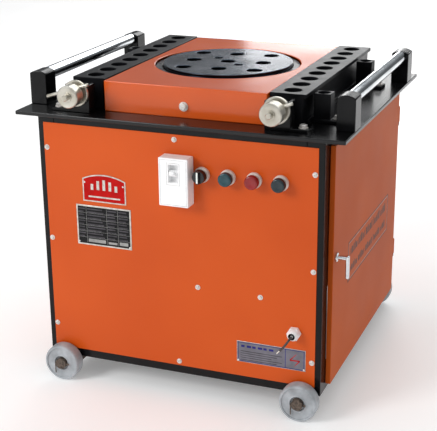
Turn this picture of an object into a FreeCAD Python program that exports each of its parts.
"""Rebar bender: a wheeled steel cabinet, a table with a turning disc and two sliding hole bars.

Frame: +Z up, +Y towards the back, +X to the right, millimetres. The origin is on the floor, under
the middle of the whole machine.
"""
import FreeCAD, Part
import Sketcher
import math
import os
import re

from FreeCAD import Placement, Rotation, Vector

# ----------------------------------------------------------------------------------------------
# Driving dimensions. Each one is written once and becomes a cell of the sheet.
# ----------------------------------------------------------------------------------------------
SIZES = {
    # cabinet frame, welded from angle steel
    "cabinet_width": 766.0,
    "cabinet_depth": 745.0,
    "cabinet_height": 669.0,
    "ground_clearance": 61.0,
    "angle_leg": 45.0,
    "angle_wall": 5.0,
    # table plate
    "table_side_lip": 54.0,
    "table_thickness": 10.0,
    "table_front_lip": 20.0,
    "table_rear_lip": 3.0,
    "table_hole_gap": 2.0,
    # sheet metal
    "sheet_wall": 2.0,
    "panel_edge": 15.0,
    "panel_bottom": 84.0,
    "panel_top_gap": 18.0,
    # doors on the two sides
    "door_proud": 14.0,
    "door_front_inset": 42.0,
    "door_rear_inset": 34.0,
    "door_bottom": 78.0,
    "door_top_gap": 21.0,
    "door_gap": 0.8,
    "hinge_barrel_radius": 7.0,
    "hinge_pin_radius": 4.0,
    "hinge_barrel_length": 46.0,
    "hinge_height_low": 190.0,
    "hinge_height_high": 600.0,
    "latch_height": 418.0,
    "latch_shank_radius": 6.0,
    "latch_reach": 34.0,
    "latch_lever": 54.0,
    # cover over the turntable
    "cover_side": 22.5,
    "cover_front": 317.0,
    "cover_rear": 308.0,
    "cover_height": 78.5,
    "cover_wall": 3.0,
    "cover_gap": 1.5,
    # working disc
    "disc_radius": 175.0,
    "disc_thickness": 28.0,
    "disc_proud": 4.0,
    "disc_turn": 5.7,
    "disc_edge": 17.32,
    "disc_hole_radius": 20.5,
    "small_hole_radius": 12.0,
    "small_hole_offset": 38.0,
    "disc_gap": 1.5,
    "housing_wall": 20.0,
    "housing_drop": 6.0,
    "shaft_radius": 45.0,
    "running_gap": 0.05,
    # sliding hole bars
    "bar_gap": 2.0,
    "bar_slab_width": 92.0,
    "bar_slab_thickness": 10.0,
    "bar_body_width": 76.0,
    "bar_length": 616.0,
    "bar_pitch": 67.0,
    "bar_hole_radius": 22.0,
    "bar_height": 80.0,
    "bar_offset": 4.0,
    "slide_gap": 0.3,
    "guide_width": 7.0,
    "guide_height": 12.0,
    "guide_end": 24.0,
    # adjusting screws with their knobs
    "screw_shift_left": 8.0,
    "screw_shift_right": 9.0,
    "screw_height": 51.0,
    "screw_radius": 8.5,
    "knob_radius": 28.5,
    "knob_length": 34.0,
    "knob_neck_radius": 20.0,
    "neck_length": 10.0,
    "knob_flange_radius": 34.0,
    "knob_flange_length": 9.0,
    "screw_nose": 14.0,
    "tommy_radius": 4.5,
    "tommy_reach_left": 47.0,
    "tommy_tail_left": 78.0,
    "tommy_rise_left": 13.0,
    "tommy_reach_right": 49.0,
    "tommy_tail_right": 30.0,
    "tommy_rise_right": 4.0,
    "collar_radius": 14.0,
    "collar_length": 8.0,
    "collar_play": 0.5,
    "nut_radius": 15.0,
    "nut_length": 20.0,
    "nut_depth": 17.0,
    "screw_bite": 21.0,
    "bracket_width": 66.0,
    "bracket_depth": 36.0,
    "bracket_height": 72.0,
    "bracket_wall": 8.0,
    "bracket_front": 357.0,
    "bracket_clear": 1.0,
    "bracket_foot": 42.0,
    # rollers at the table's two side edges
    "roller_inset": 24.0,
    "roller_radius": 17.0,
    "roller_centre_height": 71.0,
    "roller_journal_radius": 9.0,
    "roller_bracket_width": 47.0,
    "roller_bracket_depth": 52.0,
    "roller_bracket_front": 310.0,
    "roller_bracket_rear": 300.0,
    "roller_bracket_height": 88.0,
    "crown_radius": 40.0,
    "journal_length": 38.0,
    "end_play": 0.5,
    # pin seats beside the bars
    "seat_width": 43.0,
    "seat_depth": 37.0,
    "seat_height": 72.0,
    "seat_hole_radius": 15.0,
    "seat_gap": 1.5,
    "seat_foot": 30.0,
    "seat_foot_thickness": 8.0,
    # wheels
    "wheel_radius": 50.0,
    "wheel_width": 34.0,
    "wheel_inset": 48.0,
    "wheel_standoff": 4.0,
    "wheel_recess_radius": 19.0,
    "wheel_recess_depth": 7.0,
    "wheel_dish_radius": 43.0,
    "wheel_dish_depth": 2.5,
    "axle_radius": 15.0,
    "axle_block_width": 50.0,
    "axle_block_depth": 60.0,
    "axle_block_height": 31.0,
    "axle_collar_radius": 19.0,
    "axle_nose": 5.0,
    "split_pin_radius": 1.5,
    "split_pin_leg": 30.0,
    # controls on the front panel
    "control_height": 617.0,
    "selector_middle": 71.0,
    "control_pitch": 68.0,
    "bezel_radius": 20.0,
    "bezel_depth": 8.0,
    "button_radius": 17.5,
    "button_stem_radius": 12.0,
    "button_travel": 5.0,
    "button_cap": 15.0,
    "stem_gap": 0.5,
    "stem_depth": 34.0,
    "breaker_width": 78.0,
    "breaker_height": 124.0,
    "breaker_depth": 39.0,
    "breaker_middle": 9.0,
    "breaker_bottom": 538.0,
    "toggle_slot_width": 26.0,
    "toggle_slot_height": 46.0,
    "toggle_slot_depth": 18.0,
    "toggle_height": 84.0,
    "toggle_barrel_radius": 8.0,
    "toggle_lever": 17.0,
    "toggle_tilt": 15.0,
    # cable gland and cable
    "gland_middle": 314.0,
    "gland_height": 228.0,
    "gland_radius": 18.0,
    "gland_length": 26.0,
    "cable_diameter": 6.0,
    "core_diameter": 2.2,
    # plates on the front panel
    "plate_wall": 1.2,
    # drive
    "motor_radius": 92.0,
    "motor_length": 240.0,
    "motor_shaft_height": 112.0,
    "motor_shaft_radius": 14.0,
    "base_width": 340.0,
    "base_thickness": 8.0,
    "gearbox_width": 320.0,
    "gearbox_depth": 290.0,
    "gearbox_height": 200.0,
    "gearbox_drop": 240.0,
    "gearbox_flange": 22.0,
    "gearbox_neck_radius": 100.0,
    "input_rise": 75.0,
    "input_offset": 95.0,
    "input_shaft_radius": 19.0,
    "input_stub": 150.0,
    "pulley_plane": -235.0,
    "pulley_width": 40.0,
    "large_pulley_radius": 115.0,
    "small_pulley_radius": 45.0,
    "belt_width": 11.0,
    "belt_height": 9.0,
    "belt_spacing": 17.0,
    "belt_gap": 0.6,
    "disc_forward": 8.0,
}

# Places that follow from the driving dimensions, spelt once and used by many pieces.
PLACES = {
    "frame_top": "ground_clearance + cabinet_height",
    "table_top": "frame_top + table_thickness",
    "half_width": "cabinet_width / 2",
    "half_depth": "cabinet_depth / 2",
    "table_width": "cabinet_width + 2 * table_side_lip",
    "roller_middle": "table_width / 2 - roller_inset",
    "wheel_middle": "half_width - wheel_inset",
    "housing_radius": "disc_radius + housing_wall",
    "disc_pitch": "(disc_radius - disc_hole_radius - disc_edge) / 1.41421",
    "cover_half_width": "housing_radius + cover_gap + cover_side",
    "bar_middle": "cover_half_width + bar_gap + bar_slab_width / 2",
    "screw_offset_left": "-bar_middle - screw_shift_left",
    "screw_offset_right": "bar_middle - screw_shift_right",
    "knob_back": "bracket_front + bracket_clear",
    "screw_front": "knob_back + knob_flange_length + knob_length + screw_nose + neck_length",
    "wheel_outer": "half_depth + panel_stand + wheel_standoff + wheel_width",
    "panel_stand": "sheet_wall",
    "rear_reach": "wheel_outer + axle_nose",
    "middle": "(screw_front - rear_reach) / 2",
    "front_face": "middle - half_depth",
    "rear_face": "middle + half_depth",
    "panel_face": "front_face - sheet_wall",
    "disc_middle": "middle - disc_forward",
    "bar_top": "table_top + bar_height",
    "cover_top": "table_top + cover_height",
    "disc_top": "cover_top + disc_proud",
    "screw_axis": "table_top + screw_height",
    "bar_front": "middle + bar_offset - bar_length / 2",
    "roller_axis": "table_top + roller_centre_height",
    "door_front": "front_face + door_front_inset",
    "door_rear": "rear_face - door_rear_inset",
    "hinge_line": "door_rear + hinge_barrel_radius + 2",
    "hinge_side": "half_width + hinge_barrel_radius + door_gap",
    "door_face": "half_width + door_proud",
    "gearbox_floor": "frame_top - gearbox_drop",
    "input_axis": "gearbox_floor + input_rise",
    "motor_axis": "ground_clearance + angle_wall + base_thickness + motor_shaft_height",
    "drive_row": "disc_middle - input_offset",
}

doc = FreeCAD.newDocument("rebar_bender")
sheet = doc.addObject("Spreadsheet::Sheet", "Sizes")
for row, (alias, value) in enumerate(SIZES.items(), start=1):
    sheet.set(f"A{row}", alias)
    sheet.set(f"B{row}", str(value))
    sheet.setAlias(f"B{row}", alias)
doc.recompute()
NODES = []


# ----------------------------------------------------------------------------------------------
# Helpers: formulas are written with the names above and bound to the sheet's cells.
# ----------------------------------------------------------------------------------------------
def spell_out(text, cell):
    """A size formula with its places opened up and each size written by cell()."""
    def spell(match):
        name = match.group(0)
        if name in PLACES:
            return f"({spell_out(PLACES[name], cell)})"
        return cell(name) if name in SIZES else name
    return re.sub(r"[a-z_]+", spell, str(text))


def number(text):
    """The value of a size formula, for shapes that are set outright."""
    return FreeCAD.Units.parseQuantity(spell_out(text, lambda name: f"({SIZES[name]})")).Value


def bind(piece, **formulas):
    """Bind properties of a piece to size formulas."""
    for name, text in formulas.items():
        piece.setExpression(name, spell_out(text, lambda name: f"Sizes.{name}"))


def place(piece, at, rotation=Rotation()):
    """Turn a piece and bind its base point to three size formulas."""
    piece.Placement = Placement(Vector(), rotation)
    for axis, text in zip("xyz", at):
        piece.setExpression(f"Placement.Base.{axis}", spell_out(text, lambda name: f"Sizes.{name}"))


def block(middle, floor, size):
    """An upright block: its middle in plan, the height of its underside and its three sizes."""
    piece = doc.addObject("Part::Box", "block")
    width, depth, height = size
    bind(piece, Length=width, Width=depth, Height=height)
    place(piece, (f"{middle[0]} - ({width}) / 2", f"{middle[1]} - ({depth}) / 2", floor))
    return piece


TURNS = {
    "up": Rotation(),
    "right": Rotation(Vector(0, 1, 0), 90),
    "left": Rotation(Vector(0, 1, 0), -90),
    "front": Rotation(Vector(1, 0, 0), 90),
    "back": Rotation(Vector(1, 0, 0), -90),
}


def rod(start, radius, length, way="up"):
    """A round bar from its start point, running the way that is named."""
    piece = doc.addObject("Part::Cylinder", "rod")
    bind(piece, Radius=radius, Height=length)
    place(piece, start, TURNS[way] if isinstance(way, str) else way)
    return piece


def cone(start, radius_start, radius_end, length, way="up"):
    """A tapered round bar from its start point."""
    piece = doc.addObject("Part::Cone", "cone")
    bind(piece, Radius1=radius_start, Radius2=radius_end, Height=length)
    place(piece, start, TURNS[way])
    return piece


def hexagon(start, radius, length, way="up"):
    """A six-sided bar from its start point; radius is to its corners."""
    piece = doc.addObject("Part::Prism", "hexagon")
    piece.Polygon = 6
    bind(piece, Circumradius=radius, Height=length)
    place(piece, start, TURNS[way])
    return piece


def fuse(*pieces):
    """The pieces as one solid."""
    if len(pieces) == 1:
        return pieces[0]
    union = doc.addObject("Part::MultiFuse", "union")
    union.Shapes = list(pieces)
    union.Refine = True
    return union


def cut(base, *tools):
    """The base with the tools taken away."""
    result = doc.addObject("Part::Cut", "cut")
    result.Base = base
    result.Tool = fuse(*tools)
    result.Refine = True
    return result


def common(*pieces):
    """What the pieces share."""
    result = doc.addObject("Part::MultiCommon", "common")
    result.Shapes = list(pieces)
    result.Refine = True
    return result


def node(name, *pieces):
    """Name a sub-part; more than one piece stays a group of separate solids."""
    piece = pieces[0]
    if len(pieces) > 1:
        piece = doc.addObject("Part::Compound", "group")
        piece.Links = list(pieces)
    piece.Label = name
    NODES.append(piece)
    return piece


def shape_node(name, shape):
    """A sub-part whose shape is set outright."""
    piece = doc.addObject("Part::Feature", "feature")
    piece.Shape = shape
    piece.Placement = Placement()
    piece.Label = name
    NODES.append(piece)
    return piece


def sketch_on(body, offset, height="0"):
    """A sketch on the body's own ground plane, moved to a point and a height of that body."""
    plane = next(item for item in body.Origin.OriginFeatures if item.Role == "XY_Plane")
    sketch = body.newObject("Sketcher::SketchObject", "sketch")
    sketch.AttachmentSupport = [(plane, "")]
    sketch.MapMode = "FlatFace"
    for axis, text in zip("xyz", (*offset, height)):
        sketch.setExpression(
            f"AttachmentOffset.Base.{axis}", spell_out(text, lambda name: f"Sizes.{name}"))
    return sketch


def named_size(sketch, constraint, name, text):
    """Add a driving constraint and bind it to a size formula."""
    index = sketch.addConstraint(constraint)
    sketch.renameConstraint(index, name)
    sketch.setExpression(f"Constraints.{name}", spell_out(text, lambda word: f"Sizes.{word}"))


def circle_on(body, radius, offset=("0", "0"), height="0"):
    """A sketched circle."""
    sketch = sketch_on(body, offset, height)
    sketch.addGeometry(Part.Circle(Vector(), Vector(0, 0, 1), number(radius)))
    sketch.addConstraint(Sketcher.Constraint("Coincident", 0, 3, -1, 1))
    named_size(sketch, Sketcher.Constraint("Radius", 0, number(radius)), "radius", radius)
    return sketch


def rectangle_on(body, width, depth, offset=("0", "0"), height="0"):
    """A sketched rectangle about its middle."""
    sketch = sketch_on(body, offset, height)
    half_w, half_d = number(width) / 2, number(depth) / 2
    corners = [Vector(-half_w, -half_d), Vector(half_w, -half_d),
               Vector(half_w, half_d), Vector(-half_w, half_d)]
    for index in range(4):
        sketch.addGeometry(Part.LineSegment(corners[index], corners[(index + 1) % 4]))
    for index in range(4):
        sketch.addConstraint(Sketcher.Constraint("Coincident", index, 2, (index + 1) % 4, 1))
    for index, kind in enumerate(("Horizontal", "Vertical", "Horizontal", "Vertical")):
        sketch.addConstraint(Sketcher.Constraint(kind, index))
    sketch.addConstraint(Sketcher.Constraint("Symmetric", 0, 1, 2, 1, -1, 1))
    named_size(sketch, Sketcher.Constraint("Distance", 0, 2 * half_w), "width", width)
    named_size(sketch, Sketcher.Constraint("Distance", 1, 2 * half_d), "depth", depth)
    return sketch


def pad(body, sketch, length):
    """Raise a sketch into a solid."""
    feature = body.newObject("PartDesign::Pad", "pad")
    feature.Profile = sketch
    bind(feature, Length=length)
    return feature


def pocket(body, sketch):
    """Cut a sketch right through the solid above it, and check that it has cut."""
    before = body.Tip
    feature = body.newObject("PartDesign::Pocket", "pocket")
    feature.Profile = sketch
    feature.Type = 1
    feature.Reversed = True
    doc.recompute()
    if feature.Shape.Volume > before.Shape.Volume - 1:
        raise RuntimeError("a pocket has cut nothing")
    return feature


def pattern(body, feature, sketch, steps):
    """Repeat a pocket along the sketch's axes; steps gives axis, length and number for each."""
    repeat = body.newObject("PartDesign::LinearPattern", "pattern")
    repeat.Originals = [feature]
    for suffix, (axis, length, count) in zip(("", "2"), steps):
        setattr(repeat, "Direction" + suffix, (sketch, [axis]))
        bind(repeat, **{"Length" + suffix: length})
        setattr(repeat, "Occurrences" + suffix, count)
    body.Tip = repeat
    return repeat


SIDES = (("left", -1), ("right", 1))
ENDS = (("front", -1), ("rear", 1))


# ----------------------------------------------------------------------------------------------
# Cabinet frame: posts and rails of angle steel, one node for each length.
# ----------------------------------------------------------------------------------------------
def post(side, end):
    """A corner post: two legs of an angle with its corner outside."""
    across = block((f"{side} * (half_width - angle_leg / 2)",
                    f"middle + {end} * (half_depth - angle_wall / 2)"),
                   "ground_clearance", ("angle_leg", "angle_wall", "cabinet_height"))
    along = block((f"{side} * (half_width - angle_wall / 2)",
                   f"middle + {end} * (half_depth - angle_leg / 2)"),
                  "ground_clearance", ("angle_wall", "angle_leg", "cabinet_height"))
    return [across, along]


def hinge_lugs(side):
    """The two lugs with their pins that carry a door, welded to a rear post."""
    pieces = []
    for height in ("hinge_height_low", "hinge_height_high"):
        pieces.append(block((f"{side} * (half_width + (hinge_side - half_width) / 2)", "hinge_line"),
                            f"{height} - 10", ("hinge_side - half_width", "10", "10")))
        pieces.append(rod((f"{side} * hinge_side", "hinge_line", f"{height} - 10"),
                          "hinge_pin_radius", "hinge_barrel_length + 14"))
        pieces.append(rod((f"{side} * hinge_side", "hinge_line", f"{height} - 10"),
                          "hinge_barrel_radius - 1", "10"))
    return pieces


def cross_rail(end, level):
    """A front or rear rail between the posts, low or high."""
    upright_floor = "ground_clearance" if level == "bottom" else "frame_top - angle_leg"
    flat_floor = "ground_clearance" if level == "bottom" else "frame_top - angle_wall"
    length = "cabinet_width - 2 * angle_leg"
    return fuse(
        block(("0", f"middle + {end} * (half_depth - angle_wall / 2)"), upright_floor,
              (length, "angle_wall", "angle_leg")),
        block(("0", f"middle + {end} * (half_depth - angle_leg / 2)"), flat_floor,
              (length, "angle_leg", "angle_wall")))


def side_rail(side, level):
    """A left or right rail between the posts, low or high."""
    upright_floor = "ground_clearance" if level == "bottom" else "frame_top - angle_leg"
    flat_floor = "ground_clearance" if level == "bottom" else "frame_top - angle_wall"
    length = "cabinet_depth - 2 * angle_leg"
    return fuse(
        block((f"{side} * (half_width - angle_wall / 2)", "middle"), upright_floor,
              ("angle_wall", length, "angle_leg")),
        block((f"{side} * (half_width - angle_leg / 2)", "middle"), flat_floor,
              ("angle_leg", length, "angle_wall")))


for side_name, side in SIDES:
    for end_name, end in ENDS:
        pieces = post(side, end)
        if (side_name, end_name) == ("right", "rear"):
            pieces += hinge_lugs(side)
        node(f"post_{end_name}_{side_name}", fuse(*pieces))
for end_name, end in ENDS:
    node(f"rail_bottom_{end_name}", cross_rail(end, "bottom"))
for side_name, side in SIDES:
    node(f"rail_bottom_{side_name}", side_rail(side, "bottom"))
node("rails_top", *[cross_rail(end, "top") for _, end in ENDS],
     *[side_rail(side, "top") for _, side in SIDES])


# ----------------------------------------------------------------------------------------------
# Table plate: a padded rectangle with the turntable's hole.
# ----------------------------------------------------------------------------------------------
table = doc.addObject("PartDesign::Body", "table")
pad(table, rectangle_on(table, "table_width", "cabinet_depth + table_front_lip + table_rear_lip"),
    "table_thickness")
doc.recompute()
pocket(table, circle_on(table, "shaft_radius + table_hole_gap",
                        ("0", "(table_front_lip - table_rear_lip) / 2 - disc_forward")))
place(table, ("0", "middle - (table_front_lip - table_rear_lip) / 2", "frame_top"))
node("table_plate", table)


# ----------------------------------------------------------------------------------------------
# Panels: front panel with its control holes, rear panel, fixed left side cover.
# ----------------------------------------------------------------------------------------------
def control_places():
    """The x of the selector and of the three buttons, left to right."""
    return [f"selector_middle + {index} * control_pitch" for index in range(4)]


PANEL_SIZE = ("cabinet_width - 2 * panel_edge", "sheet_wall", "frame_top - panel_top_gap - panel_bottom")
front_sheet = block(("0", "front_face - sheet_wall / 2"), "panel_bottom", PANEL_SIZE)
stem_holes = [rod((place_x, "front_face + 5", "control_height"), "button_stem_radius + stem_gap", "20", "front")
              for place_x in control_places()]
gland_hole = rod(("gland_middle", "front_face + 5", "gland_height"), "gland_radius - 6", "20", "front")
node("front_panel", cut(front_sheet, *stem_holes, gland_hole))
node("rear_panel", block(("0", "rear_face + sheet_wall / 2"), "panel_bottom", PANEL_SIZE))


def pan(side):
    """A sheet pan that covers a side: its face outside, its edges turned in."""
    depth = "door_rear - door_front"
    height = "frame_top - door_top_gap - door_bottom"
    plan_y = "(door_front + door_rear) / 2"
    outer = block((f"{side} * (half_width + (door_gap + door_proud) / 2)", plan_y), "door_bottom",
                  ("door_proud - door_gap", depth, height))
    inner = block((f"{side} * (half_width + (door_gap + door_proud) / 2 - sheet_wall)", plan_y),
                  "door_bottom + sheet_wall",
                  ("door_proud - door_gap", f"{depth} - 2 * sheet_wall", f"{height} - 2 * sheet_wall"))
    return cut(outer, inner)


node("side_cover_left", pan(-1))


# ----------------------------------------------------------------------------------------------
# Right door: pan with hinge barrels, and its L-shaped latch handle.
# ----------------------------------------------------------------------------------------------
barrels = []
barrel_bores = []
for height in ("hinge_height_low", "hinge_height_high"):
    barrels.append(rod(("hinge_side", "hinge_line", f"{height} + end_play"),
                       "hinge_barrel_radius", "hinge_barrel_length"))
    barrels.append(block(("hinge_side", "(hinge_line + door_rear) / 2"), f"{height} + end_play",
                         ("3", "hinge_line - door_rear", "hinge_barrel_length")))
    barrel_bores.append(rod(("hinge_side", "hinge_line", f"{height} - 20"),
                            "hinge_pin_radius + running_gap", "hinge_barrel_length + 40"))
latch_hole = rod(("half_width - 20", "door_front + 24", "latch_height"),
                 "latch_shank_radius + running_gap", "60", "right")
node("door_right", cut(fuse(pan(1), *barrels), *barrel_bores, latch_hole))
node("door_latch", fuse(
    rod(("half_width + 2.5", "door_front + 24", "latch_height"), "latch_shank_radius",
        "door_proud + latch_reach - 2.5 - 4", "right"),
    block(("door_face + latch_reach - 4", "door_front + 24"), "latch_height - latch_lever",
          ("9", "12", "latch_lever + 7")),
    rod(("door_face + 0.5", "door_front + 24", "latch_height"), "latch_shank_radius + 6", "4", "right"),
    block(("half_width + 5.5", "door_front + 17"), "latch_height - 7", ("6", "26", "14"))))


# ----------------------------------------------------------------------------------------------
# Turntable: cover, cup-shaped housing, working disc with its grid of pin holes, main shaft.
# ----------------------------------------------------------------------------------------------
COVER_DEPTH = "cover_front + cover_rear"
cover_plan = ("0", "middle + (cover_rear - cover_front) / 2")
cover_outer = block(cover_plan, "table_top", ("2 * cover_half_width", COVER_DEPTH, "cover_height"))
cover_inner = block(cover_plan, "table_top - 1",
                    ("2 * (cover_half_width - cover_wall)", f"{COVER_DEPTH} - 2 * cover_wall",
                     "cover_height - cover_wall + 1"))
cover_opening = rod(("0", "disc_middle", "table_top"), "housing_radius + cover_gap", "cover_height + 5")
node("cover_box", cut(cover_outer, cover_inner, cover_opening))

housing_outer = rod(("0", "disc_middle", "table_top"), "housing_radius",
                    "cover_height - housing_drop")
housing_cup = rod(("0", "disc_middle", "disc_top - disc_thickness - 2"), "disc_radius + disc_gap", "100")
housing_bore = rod(("0", "disc_middle", "table_top - 5"), "shaft_radius + running_gap", "120")
node("turntable_housing", cut(housing_outer, housing_cup, housing_bore))

disc = doc.addObject("PartDesign::Body", "disc")
pad(disc, circle_on(disc, "disc_radius"), "disc_thickness")
doc.recompute()
grid_sketch = circle_on(disc, "disc_hole_radius", ("-disc_pitch", "-disc_pitch"))
grid_hole = pocket(disc, grid_sketch)
pattern(disc, grid_hole, grid_sketch, (("H_Axis", "2 * disc_pitch", 3), ("V_Axis", "2 * disc_pitch", 3)))
doc.recompute()
for way in (-1, 1):
    pocket(disc, circle_on(disc, "small_hole_radius",
                           (f"{way} * small_hole_offset", f"{-way} * small_hole_offset")))
place(disc, ("0", "disc_middle", "disc_top - disc_thickness"), Rotation(Vector(0, 0, 1), SIZES["disc_turn"]))
node("working_disc", disc)
node("main_shaft", cut(
    rod(("0", "disc_middle", "gearbox_floor + 62"), "shaft_radius",
        "disc_top - disc_thickness - gearbox_floor - 62"),
    rod(("0", "disc_middle", "disc_top - disc_thickness - 40"), "disc_hole_radius", "60")))


# ----------------------------------------------------------------------------------------------
# Hole bars: a body and a wider slab, nine pin holes, and a nut boss at the front end.
# ----------------------------------------------------------------------------------------------
def hole_bar(side, side_name):
    """A bar that slides along Y beside the cover."""
    body = doc.addObject("PartDesign::Body", "bar")
    pad(body, rectangle_on(body, "bar_body_width", "bar_length"),
        "bar_height - bar_slab_thickness - slide_gap + 1")
    pad(body, rectangle_on(body, "bar_slab_width", "bar_length",
                           height="bar_height - bar_slab_thickness - slide_gap"), "bar_slab_thickness")
    doc.recompute()
    first = circle_on(body, "bar_hole_radius", ("0", "-4 * bar_pitch"))
    hole = pocket(body, first)
    pattern(body, hole, first, (("V_Axis", "8 * bar_pitch", 9),))
    place(body, (f"{side} * bar_middle", "middle + bar_offset", "table_top + slide_gap"))
    offset = f"screw_offset_{side_name}"
    boss = rod((offset, "bar_front + 1", "screw_axis"), "nut_radius", "nut_length + 1", "front")
    bore = rod((offset, "bar_front + nut_depth", "screw_axis"), "screw_radius + running_gap",
               "nut_depth + nut_length + 10", "front")
    return cut(fuse(body, boss), bore)


def guides():
    """Four strips that keep the two bars straight, under the slabs' edges."""
    strips = []
    for _, side in SIDES:
        for way in (-1, 1):
            middle_x = f"{side} * bar_middle + {way} * (bar_body_width / 2 + slide_gap + guide_width / 2)"
            strips.append(block((middle_x, "middle + bar_offset"), "table_top",
                                ("guide_width", "bar_length - 2 * guide_end", "guide_height")))
    return strips


for side_name, side in SIDES:
    node(f"hole_bar_{side_name}", hole_bar(side, side_name))
node("bar_guides", *guides())


# ----------------------------------------------------------------------------------------------
# Adjusting screws: bracket, screw with its collar, flanged knob and tommy bar.
# ----------------------------------------------------------------------------------------------
def screw_bracket(side, side_name):
    """A U-shaped bracket that holds the screw, with a foot beside it."""
    offset = f"screw_offset_{side_name}"
    face = block((offset, "middle - bracket_front + bracket_wall / 2"), "table_top",
                 ("bracket_width", "bracket_wall", "bracket_height"))
    cheeks = [block((f"{offset} + {way} * (bracket_width - bracket_wall) / 2",
                     "middle - bracket_front + bracket_depth / 2"), "table_top",
                    ("bracket_wall", "bracket_depth", "bracket_height")) for way in (-1, 1)]
    foot = block((f"{offset} + {side} * (bracket_width + bracket_foot) / 2",
                  "middle - bracket_front + bracket_depth / 2"), "table_top",
                 ("bracket_foot", "bracket_depth", "bracket_wall"))
    hole = rod((offset, "middle - bracket_front + 30", "screw_axis"), "screw_radius + running_gap",
               "60", "front")
    return cut(fuse(face, *cheeks, foot), hole)


def adjusting_screw(side_name, tommy_angle):
    """The screw: tip in the bar's nut, collar and flange either side of the bracket, knob in front."""
    offset = f"screw_offset_{side_name}"
    tip = "bar_front - nut_length + screw_bite"
    pieces = [
        rod((offset, tip, "screw_axis"), "screw_radius", f"{tip} - middle + screw_front", "front"),
        rod((offset, "middle - bracket_front + bracket_wall + collar_play + collar_length", "screw_axis"),
            "collar_radius", "collar_length", "front"),
        rod((offset, "middle - knob_back", "screw_axis"), "knob_flange_radius", "knob_flange_length",
            "front"),
        rod((offset, "middle - knob_back", "screw_axis"), "knob_neck_radius",
            "knob_flange_length + neck_length", "front"),
        rod((offset, "middle - knob_back - knob_flange_length - neck_length", "screw_axis"),
            "knob_radius", "knob_length", "front"),
    ]
    turn = math.radians(tommy_angle)
    tail, rise = f"tommy_tail_{side_name}", f"tommy_rise_{side_name}"
    start_x = f"{offset} - {math.cos(turn):.6f} * {tail} - {math.sin(turn):.6f} * {rise}"
    start_z = f"screw_axis - {math.sin(turn):.6f} * {tail} + {math.cos(turn):.6f} * {rise}"
    heading = Rotation(Vector(0, 0, 1), Vector(math.cos(turn), 0, math.sin(turn)))
    pieces.append(rod((start_x, "middle - knob_back - knob_flange_length - neck_length / 2", start_z),
                      "tommy_radius", f"tommy_reach_{side_name} + {tail}", heading))
    return fuse(*pieces)


for side_name, side in SIDES:
    node(f"screw_bracket_{side_name}", screw_bracket(side, side_name))
for side_name, tommy_angle in (("left", 18), ("right", 23)):
    node(f"adjusting_screw_{side_name}", adjusting_screw(side_name, tommy_angle))


# ----------------------------------------------------------------------------------------------
# Rollers: a chromed roller with journals, in a crowned bracket at each end.
# ----------------------------------------------------------------------------------------------
def roller_bracket(side, end):
    """A bracket block with a crowned top and a blind bore that faces the roller."""
    reach = "roller_bracket_front" if end < 0 else "roller_bracket_rear"
    plan = (f"{side} * roller_middle", f"middle + {end} * ({reach} - roller_bracket_depth / 2)")
    size = ("roller_bracket_width", "roller_bracket_depth")
    crown = rod((f"{side} * roller_middle", f"middle + {end} * ({reach} - roller_bracket_depth / 2) - 100",
                 "table_top + roller_bracket_height - crown_radius"), "crown_radius", "200", "back")
    base = block(plan, "table_top", (*size, "roller_bracket_height - crown_radius"))
    head = common(block(plan, "table_top", (*size, "roller_bracket_height")), crown)
    bore = rod((f"{side} * roller_middle", f"middle + {end} * ({reach} - roller_bracket_depth)",
                "roller_axis"), "roller_journal_radius + running_gap", "journal_length + 2",
               "front" if end < 0 else "back")
    return cut(fuse(base, head), bore)


def roller(side):
    """The roller between the brackets, with a journal at each end."""
    first = "middle - roller_bracket_front + roller_bracket_depth"
    span = "roller_bracket_front + roller_bracket_rear - 2 * roller_bracket_depth"
    barrel = rod((f"{side} * roller_middle", f"{first} + end_play", "roller_axis"), "roller_radius",
                 f"{span} - 2 * end_play", "back")
    journals = rod((f"{side} * roller_middle", f"{first} - journal_length", "roller_axis"),
                   "roller_journal_radius", f"{span} + 2 * journal_length", "back")
    return fuse(barrel, journals)


for side_name, side in SIDES:
    for end_name, end in ENDS:
        node(f"roller_bracket_{end_name}_{side_name}", roller_bracket(side, end))
    node(f"roller_{side_name}", roller(side))


# ----------------------------------------------------------------------------------------------
# Pin seats: square blocks with an upright hole, bolted down beside the bars.
# ----------------------------------------------------------------------------------------------
SEATS = ((1, "-230"), (1, "168"), (-1, "127"))
SEAT_MIDDLE = "(bar_middle + bar_slab_width / 2 + seat_gap + seat_width / 2)"


def pin_seat(side, place_y):
    """One seat with its foot on the outer side."""
    tower = block((f"{side} * {SEAT_MIDDLE}", f"middle + {place_y}"), "table_top",
                  ("seat_width", "seat_depth", "seat_height"))
    foot = block((f"{side} * ({SEAT_MIDDLE} + seat_foot / 2)", f"middle + {place_y}"), "table_top",
                 ("seat_width + seat_foot", "seat_depth + 10", "seat_foot_thickness"))
    hole = rod((f"{side} * {SEAT_MIDDLE}", f"middle + {place_y}", "table_top - 5"), "seat_hole_radius",
               "seat_height + 20")
    return cut(fuse(tower, foot), hole)


node("pin_seats", *[pin_seat(side, place_y) for side, place_y in SEATS])


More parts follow.
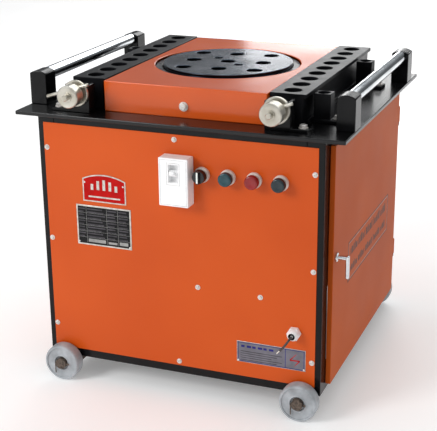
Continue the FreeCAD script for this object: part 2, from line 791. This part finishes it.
# ----------------------------------------------------------------------------------------------
# Wheels, their stub axles on blocks under the frame, and split pins.
# ----------------------------------------------------------------------------------------------
def wheel(side, end):
    """A cast wheel: dished outer face, recess round the bore."""
    way = "front" if end < 0 else "back"
    inner = f"middle + {end} * (wheel_outer - wheel_width)"
    outer = f"middle + {end} * (wheel_outer - {{}})"
    x = f"{side} * wheel_middle"
    body = rod((x, inner, "wheel_radius"), "wheel_radius", "wheel_width", way)
    dish = rod((x, outer.format("wheel_dish_depth"), "wheel_radius"), "wheel_dish_radius", "20", way)
    recess = rod((x, outer.format("wheel_recess_depth"), "wheel_radius"), "wheel_recess_radius", "20", way)
    bore = rod((x, f"middle + {end} * (wheel_outer - wheel_width - 10)", "wheel_radius"),
               "axle_radius + running_gap", "wheel_width + 30", way)
    return cut(body, dish, recess, bore)


def stub_axle(side, end):
    """An axle block under the frame with the round axle that carries the wheel."""
    way = "front" if end < 0 else "back"
    x = f"{side} * wheel_middle"
    holder = block((x, f"middle + {end} * (half_depth - axle_block_depth / 2)"),
                   "ground_clearance - axle_block_height",
                   ("axle_block_width", "axle_block_depth", "axle_block_height"))
    collar = rod((x, f"middle + {end} * half_depth", "wheel_radius"), "axle_collar_radius",
                 "sheet_wall + wheel_standoff - end_play", way)
    axle = rod((x, f"middle + {end} * half_depth", "wheel_radius"), "axle_radius",
               "wheel_outer - half_depth + axle_nose", way)
    pin_hole = rod((f"{x} - 60", f"middle + {end} * (wheel_outer + axle_nose - 3.2)", "wheel_radius"),
                   "split_pin_radius", "120", "right")
    return cut(fuse(holder, collar, axle), pin_hole)


def split_pin(side, end):
    """A split pin through the axle's end, its legs bent down."""
    x = f"{side} * wheel_middle"
    y = f"middle + {end} * (wheel_outer + axle_nose - 3.2)"
    shank = rod((f"{x} - axle_radius - 2", y, "wheel_radius"), "split_pin_radius",
                "2 * axle_radius + 5", "right")
    leg = rod((f"{x} - axle_radius - 2", y, "wheel_radius - split_pin_leg"), "split_pin_radius",
              "split_pin_leg + split_pin_radius")
    head = rod((f"{x} + axle_radius + 3", y, "wheel_radius"), "2 * split_pin_radius", "4", "right")
    return fuse(shank, leg, head)


for side_name, side in SIDES:
    for end_name, end in ENDS:
        node(f"wheel_{end_name}_{side_name}", wheel(side, end))
CORNERS = [(side, end) for _, side in SIDES for _, end in ENDS]
node("wheel_axles", *[stub_axle(side, end) for side, end in CORNERS])
node("split_pins", *[split_pin(side, end) for side, end in CORNERS])


# ----------------------------------------------------------------------------------------------
# Controls: bezels, selector, three push buttons, circuit breaker with its toggle.
# ----------------------------------------------------------------------------------------------
def bezel(x):
    """A ring on the panel that a stem passes through."""
    ring = rod((x, "panel_face", "control_height"), "bezel_radius", "bezel_depth", "front")
    hole = rod((x, "panel_face + 1", "control_height"), "button_stem_radius + stem_gap", "40", "front")
    return cut(ring, hole)


def control(x):
    """The cap and stem that a button and the selector share."""
    back = "panel_face - bezel_depth - button_travel - 1.5"
    cap = rod((x, back, "control_height"), "button_radius", "button_cap", "front")
    stem = rod((x, "front_face + stem_depth", "control_height"), "button_stem_radius",
               f"stem_depth + front_face - ({back}) + 1", "front")
    return [cap, stem]


places = control_places()
node("control_bezels", *[bezel(x) for x in places])
grip = block((places[0], "panel_face - bezel_depth - button_travel - 1.5 - button_cap - 3"),
             "control_height - button_radius + 2", ("8", "8", "2 * button_radius - 4"))
node("selector_knob", fuse(*control(places[0]), grip))
for name, x in zip(("button_green", "button_red", "button_black"), places[1:]):
    node(name, fuse(*control(x)))

BREAKER_FACE = "(panel_face - breaker_depth)"
breaker = block(("breaker_middle", "panel_face - breaker_depth / 2"), "breaker_bottom",
                ("breaker_width", "breaker_depth", "breaker_height"))
slot = block(("breaker_middle", f"{BREAKER_FACE} + toggle_slot_depth / 2 - 1"),
             "breaker_bottom + toggle_height - toggle_slot_height / 2",
             ("toggle_slot_width", "toggle_slot_depth + 2", "toggle_slot_height"))
node("breaker_box", cut(breaker, slot))
TOGGLE_AXIS = f"{BREAKER_FACE} + toggle_barrel_radius + 1"
lever = doc.addObject("Part::Box", "lever")
bind(lever, Length="11", Width="toggle_lever", Height="7")
tilt = math.radians(SIZES["toggle_tilt"])
place(lever, ("breaker_middle - 5.5",
              f"{TOGGLE_AXIS} - {math.cos(tilt):.6f} * toggle_lever - {math.sin(tilt):.6f} * 3.5",
              f"breaker_bottom + toggle_height + {math.sin(tilt):.6f} * toggle_lever"
              f" - {math.cos(tilt):.6f} * 3.5"),
      Rotation(Vector(1, 0, 0), -SIZES["toggle_tilt"]))
node("breaker_toggle", fuse(
    rod(("breaker_middle - toggle_slot_width / 2 + 1", TOGGLE_AXIS, "breaker_bottom + toggle_height"),
        "toggle_barrel_radius", "toggle_slot_width - 2", "right"), lever))


# ----------------------------------------------------------------------------------------------
# Plates on the front panel: arched badge, data plate, wide label.
# ----------------------------------------------------------------------------------------------
def thin_plate(middle_x, floor, width, height):
    """A thin plate that lies on the front panel."""
    return block((middle_x, "panel_face - plate_wall / 2"), floor, (width, "plate_wall", height))


badge_arch = rod(("-201", "panel_face", "442"), "145", "plate_wall", "front")
node("badge", common(thin_plate("-201", "512", "122", "76"), badge_arch))
node("info_plates", thin_plate("-206", "391", "156", "110"), thin_plate("252", "125", "184", "58"))


# ----------------------------------------------------------------------------------------------
# Cable gland and the supply cable's stub, which ends in two bare cores.
# ----------------------------------------------------------------------------------------------
node("cable_gland", fuse(
    hexagon(("gland_middle", "panel_face", "gland_height"), "gland_radius", "12", "front"),
    rod(("gland_middle", "panel_face - 12", "gland_height"), "gland_radius - 3", "6", "front"),
    cone(("gland_middle", "panel_face - 18", "gland_height"), "gland_radius - 3", "gland_radius - 8",
         "gland_length - 18", "front"),
    rod(("gland_middle", "front_face + 10", "gland_height"), "gland_radius - 7", "14", "front")))

# The cable's route from the gland's mouth, as steps from that mouth.
CABLE_STEPS = [(0, 0, 0), (-2, -8, -3.5), (-7.5, -16.5, -12), (-15.5, -19.5, -23.5), (-24.3, -16.3, -33.8)]
mouth = Vector(number("gland_middle"), number("panel_face - gland_length"), number("gland_height"))
CABLE_ROUTE = [mouth + Vector(*step) for step in CABLE_STEPS]


def tube_along(route, diameter, name):
    """A tube whose path is straight runs joined by tangent arcs as large as the runs allow."""
    edges = []
    start = route[0]
    for before, corner, after in zip(route, route[1:], route[2:]):
        back, ahead = before - corner, after - corner
        half = (math.pi - back.getAngle(ahead)) / 2
        reach = 0.45 * min(back.Length, ahead.Length)
        radius = reach / math.tan(half)
        print(f"{name}: bend radius {radius:.1f} mm")
        first = corner + back.normalize() * reach
        last = corner + ahead.normalize() * reach
        inward = (back + ahead).normalize()
        crown = corner + inward * (radius / math.cos(half) - radius)
        edges.append(Part.LineSegment(start, first).toShape())
        edges.append(Part.Arc(first, crown, last).toShape())
        start = last
    edges.append(Part.LineSegment(start, route[-1]).toShape())
    path = Part.Wire(edges)
    ring = Part.Wire([Part.Circle(route[0], route[1] - route[0], diameter / 2).toShape()])
    tube = path.makePipeShell([ring], True, True)
    length = sum(edge.Length for edge in edges)
    print(f"{name}: length {length:.1f} mm, volume ratio "
          f"{tube.Volume / (math.pi * diameter ** 2 / 4 * length):.4f}")
    return tube


# The sheath is swept from a little inside the gland and trimmed flush with its mouth.
root = CABLE_ROUTE[0] - (CABLE_ROUTE[1] - CABLE_ROUTE[0]).normalize() * SIZES["cable_diameter"] / 2
sheath = tube_along([root, *CABLE_ROUTE[1:]], SIZES["cable_diameter"], "supply cable")
behind = Part.makeBox(40, 20, 40, mouth - Vector(20, 0, 20))
shape_node("supply_cable", sheath.cut(behind))
cable_end = CABLE_ROUTE[-1]
cable_way = (CABLE_ROUTE[-1] - CABLE_ROUTE[-2]).normalize()
cable_side = cable_way.cross(Vector(0, 0, 1)).normalize()
cores = []
for sideways, length in ((1.4, 17), (-1.4, 11)):
    cores.append(Part.makeCylinder(SIZES["core_diameter"] / 2, length,
                                   cable_end + cable_side * sideways, cable_way))
shape_node("cable_cores", Part.makeCompound(cores))


# ----------------------------------------------------------------------------------------------
# Drive inside the cabinet: motor on its base, two belts, gearbox under the table.
# ----------------------------------------------------------------------------------------------
node("motor_base", block(("-80", "middle"), "ground_clearance + angle_wall",
                         ("base_width", "cabinet_depth - 2 * angle_wall - 2", "base_thickness")))
BASE_TOP = "(ground_clearance + angle_wall + base_thickness)"
motor_end = "pulley_plane + pulley_width / 2 + 25"
motor_feet = [block((f"{motor_end} + motor_length / 2 + {way} * 70", "drive_row"), BASE_TOP,
                    ("34", "2 * motor_radius", "motor_shaft_height - 40")) for way in (-1, 1)]
node("motor_body", fuse(
    rod((motor_end, "drive_row", "motor_axis"), "motor_radius", "motor_length", "right"),
    rod((f"{motor_end} - 12", "drive_row", "motor_axis"), "motor_radius - 34", "20", "right"),
    rod((f"{motor_end} + motor_length", "drive_row", "motor_axis"), "motor_radius - 5", "58", "right"),
    block((f"{motor_end} + 90", "drive_row"), "motor_axis + motor_radius - 15", ("96", "84", "52")),
    *motor_feet))

node("gearbox_housing", cut(
    fuse(block(("0", "disc_middle"), "gearbox_floor", ("gearbox_width", "gearbox_depth", "gearbox_height")),
         rod(("0", "disc_middle", "gearbox_floor + gearbox_height - 1"), "gearbox_neck_radius",
             "gearbox_drop - gearbox_height + 1"),
         block(("0", "disc_middle"), "frame_top - gearbox_flange", ("280", "280", "gearbox_flange")),
         rod(("-gearbox_width / 2 - 14", "drive_row", "input_axis"), "input_shaft_radius + 18", "20",
             "right")),
    rod(("0", "disc_middle", "gearbox_floor + 60"), "shaft_radius + running_gap", "gearbox_drop"),
    rod(("-gearbox_width / 2 - 20", "drive_row", "input_axis"), "input_shaft_radius + running_gap",
        "input_stub + 24", "right")))


def pulley(radius, row_z, shaft_radius, shaft_start, shaft_length):
    """A two-groove pulley on its shaft, along X."""
    rim = rod(("pulley_plane - pulley_width / 2", "drive_row", row_z), radius, "pulley_width", "right")
    grooves = []
    for way in (-1, 1):
        start = (f"pulley_plane + {way} * belt_spacing / 2 - belt_width / 2 - belt_gap", "drive_row", row_z)
        grooves.append(cut(rod(start, f"{radius} + 5", "belt_width + 2 * belt_gap", "right"),
                           rod(start, f"{radius} - belt_height - 2 * belt_gap",
                               "belt_width + 2 * belt_gap", "right")))
    shaft = rod((shaft_start, "drive_row", row_z), shaft_radius, shaft_length, "right")
    return fuse(cut(rim, *grooves), shaft)


node("input_pulley", pulley("large_pulley_radius", "input_axis", "input_shaft_radius",
                            "pulley_plane - pulley_width / 2 - 8",
                            "-gearbox_width / 2 + input_stub - pulley_plane + pulley_width / 2 + 8"))
node("motor_pulley", pulley("small_pulley_radius", "motor_axis", "motor_shaft_radius",
                            "pulley_plane - pulley_width / 2 - 6", "pulley_width + 6 + 25 - 12 - end_play"))


def belt_outline(large, small, span):
    """The closed line round two pulleys, one above the other, seen along X."""
    lean = math.asin((large - small) / span)
    across, down = math.cos(lean), -math.sin(lean)
    points = {}
    for way in (-1, 1):
        points[way, "top"] = Vector(0, way * large * across, span + large * down)
        points[way, "low"] = Vector(0, way * small * across, small * down)
    return Part.Wire([
        Part.LineSegment(points[-1, "low"], points[-1, "top"]).toShape(),
        Part.Arc(points[-1, "top"], Vector(0, 0, span + large), points[1, "top"]).toShape(),
        Part.LineSegment(points[1, "top"], points[1, "low"]).toShape(),
        Part.Arc(points[1, "low"], Vector(0, 0, -small), points[-1, "low"]).toShape()])


span = number("input_axis - motor_axis")
belts = []
for way in (-1, 1):
    outer, inner = [
        Part.Face(belt_outline(number(f"large_pulley_radius - ({depth})"),
                               number(f"small_pulley_radius - ({depth})"), span))
        for depth in ("belt_gap / 2", "belt_height + belt_gap / 2")]
    belt = outer.cut(inner).extrude(Vector(SIZES["belt_width"], 0, 0))
    belt.translate(Vector(number(f"pulley_plane + {way} * belt_spacing / 2 - belt_width / 2"),
                          number("drive_row"), number("motor_axis")))
    belts.append(belt)
shape_node("drive_belts", Part.makeCompound(belts))

contactors = [block((f"145 + {way} * 60", "front_face + 3 + 26"), "275", ("44", "52", "78"))
              for way in (-1, 0, 1)]
tray = block(("145", "front_face + 1.5"), "250", ("215", "3", "124"))
node("contactor_tray", fuse(tray, *contactors))


# ----------------------------------------------------------------------------------------------
# Fasteners, each kind a group.
# ----------------------------------------------------------------------------------------------
def panel_screw(x, z, side=-1):
    """A pan-head screw with its washer on the front (-1) or rear (1) panel."""
    way = "front" if side < 0 else "back"
    face = f"middle + {side} * (half_depth + sheet_wall)"
    return fuse(rod((x, face, z), "7", "1.2", way), rod((x, face, z), "4.6", "4", way))


SCREW_COLUMN = ("152", "398", "646")
screws = []
for end in (-1, 1):
    for side in (-1, 1):
        screws += [panel_screw(f"{side} * (half_width - panel_edge - 8)", z, end) for z in SCREW_COLUMN]
    screws += [panel_screw("-2", "96", end), panel_screw("-3", "699", end)]
screws += [panel_screw("54", "314"), panel_screw("223", "311")]
for place_y in ("door_front + 20", "door_rear - 20"):
    for z in ("door_bottom + 20", "frame_top - door_top_gap - 20"):
        screws.append(fuse(rod(("-door_face", place_y, z), "7", "1.2", "left"),
                           rod(("-door_face", place_y, z), "4.6", "4", "left")))

RIVETS = [("-256", "563"), ("-147", "561"), ("-279", "399"), ("-133", "397"), ("340", "129"), ("164", "129")]
rivets = [rod((x, "panel_face - plate_wall", z), "2.6", "1.6", "front") for x, z in RIVETS]
node("panel_fasteners", *screws, *rivets)


def table_bolt(x, y, floor, way="up"):
    """A hexagon bolt head on a washer."""
    ahead = {"up": (x, y, f"{floor} + 2"), "front": (x, f"{y} - 2", floor), "back": (x, f"{y} + 2", floor)}
    return fuse(rod((x, y, floor), "12", "2.2", way), hexagon(ahead[way], "9.8", "7.5", way))


bolts = [
    table_bolt("0", "middle - cover_front", "table_top + 29", "front"),
    table_bolt("0", "middle + cover_rear", "table_top + 29", "back"),
]
for side_name, side in SIDES:
    bolts.append(table_bolt(f"screw_offset_{side_name} + {side} * (bracket_width / 2 + 27)",
                            "middle - bracket_front + 17", "table_top + bracket_wall"))
for side, place_y in SEATS:
    bolts.append(table_bolt(f"{side} * ({SEAT_MIDDLE} + seat_width / 2 + 15)", f"middle + {place_y}",
                            "table_top + seat_foot_thickness"))
node("table_bolts", *bolts)


# ----------------------------------------------------------------------------------------------
# Check every object, then write one file for each sub-part.
# ----------------------------------------------------------------------------------------------
doc.recompute()
faults = [item.Label for item in doc.Objects if {"Invalid", "Error"} & set(item.State)]
if faults:
    raise RuntimeError(f"failed objects: {faults}")
for piece in NODES:
    if piece.Shape.isNull() or not piece.Shape.isValid() or not piece.Shape.Solids:
        raise RuntimeError(f"bad shape: {piece.Label}")
os.makedirs("parts", exist_ok=True)
for piece in NODES:
    piece.Shape.exportStep(f"parts/{piece.Label}.step")
print(len(NODES), "sub-parts")
